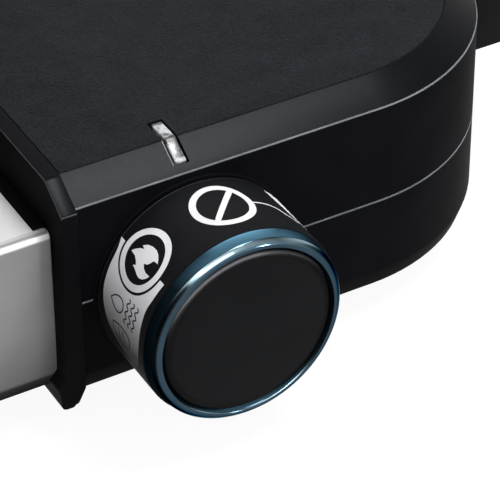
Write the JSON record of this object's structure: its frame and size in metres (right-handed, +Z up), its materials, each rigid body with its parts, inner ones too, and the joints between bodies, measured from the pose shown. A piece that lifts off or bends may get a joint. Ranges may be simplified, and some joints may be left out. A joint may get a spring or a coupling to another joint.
{
  "type": "electric indoor grill with lid",
  "caption": "Countertop electric grill with a domed hinged lid, a control knob on its right housing, lift-out grates over a heating tube and a pull-out drip tray.",
  "frame": {"origin": "on the table under the middle of the grill's outer box, side handles and knob included", "axes": "+X to the grill's right, where the control housing is; +Y to its back, where the lid is hinged; +Z up"},
  "size_m": [0.606, 0.36, 0.1509],
  "materials": {
    "housing_black": "satin moulded black",
    "textured_black": "fine leather-grain black",
    "cheek_black": "satin black",
    "grip_black": "soft satin black",
    "pan_black": "black enamel",
    "lid_black": "gloss black enamel",
    "brushed_silver": "fine brushed",
    "liner_steel": "plain rolled",
    "fastener_steel": "zinc plated",
    "element_steel": "heat-darkened",
    "terminal_ceramic": "glazed",
    "blue_chrome": "mirror, steel blue",
    "knob_black": "satin black with printed marks",
    "cap_black": "fine matt black",
    "clear_pipe": "clear, faintly milky",
    "window_glass": "smoked tempered",
    "board_green": "solder mask",
    "switch_body": "moulded",
    "rubber_black": "matt",
    "silicone_grey": "matt",
    "grate_black": "non-stick coated",
    "tray_steel": "dark non-stick coated",
    "lead_red": "silicone insulation",
    "lead_blue": "silicone insulation"
  },
  "bodies": {
    "base": {"base_pan": "pan_black", "cookbox_liner": "liner_steel", "front_fascia": "brushed_silver", "shelf_end_strips": "rubber_black", "right_cheek": "cheek_black", "left_cheek": "cheek_black", "control_upper_shell": "housing_black", "control_lower_shell": "housing_black", "control_top_panel": "textured_black", "end_upper_shell": "housing_black", "end_lower_shell": "housing_black", "end_top_panel": "textured_black", "light_pipe": "clear_pipe", "indicator_board": "board_green", "control_board": "board_green", "rotary_switch": "switch_body", "switch_nut": "fastener_steel", "knob_seat_plate": "cheek_black", "element_tube": "element_steel", "element_terminals": "terminal_ceramic", "element_brackets": "liner_steel", "thermal_cutout": "terminal_ceramic", "heater_leads": "lead_red", "supply_leads": "lead_blue", "cord_bush": "rubber_black", "tray_rails": "liner_steel", "hinge_brackets": "pan_black", "rubber_feet": "rubber_black", "housing_screws": "fastener_steel", "cheek_screws": "fastener_steel", "side_handle_right": "grip_black", "side_handle_left": "grip_black", "side_handle_screws": "fastener_steel"},
    "knob": {"switch_shaft": "fastener_steel", "knob_sleeve": "knob_black", "knob_ring": "blue_chrome", "knob_cap": "cap_black", "knob_spring": "fastener_steel"},
    "tray": {"drip_tray": "tray_steel", "tray_front": "brushed_silver", "tray_rivets": "fastener_steel"},
    "left_grate": {"grate_left": "grate_black"},
    "right_grate": {"grate_right": "grate_black"},
    "lid": {"lid_shell": "lid_black", "lid_skirt": "lid_black", "lid_rim": "brushed_silver", "lid_glass": "window_glass", "window_gasket": "silicone_grey", "window_bezel": "brushed_silver", "lid_bumpers": "silicone_grey", "lid_handle_bar": "grip_black", "lid_handle_posts": "brushed_silver", "lid_handle_screws": "fastener_steel", "lid_hinge_leaves": "liner_steel", "leaf_rivets": "fastener_steel", "hinge_pins": "fastener_steel"}
  },
  "joints": [
    {"name": "lid_hinge", "type": "hinge", "parent": "base", "child": "lid", "pos_m": [-0.039, 0.172, 0.0662], "axis": [-1, 0, 0], "range_deg": [0, 90]},
    {"name": "knob_turn", "type": "hinge", "parent": "base", "child": "knob", "pos_m": [0.1636, -0.15, 0.038], "axis": [0, 1, 0], "range_deg": [0, 270]},
    {"name": "tray_slide", "type": "slide", "parent": "base", "child": "tray", "axis": [0, -1, 0], "range_m": [0, 0.2]},
    {"name": "left_grate_lift", "type": "slide", "parent": "base", "child": "left_grate", "axis": [0, 0, 1], "range_m": [0, 0.03]},
    {"name": "right_grate_lift", "type": "slide", "parent": "base", "child": "right_grate", "axis": [0, 0, 1], "range_m": [0, 0.03]}
  ]
}
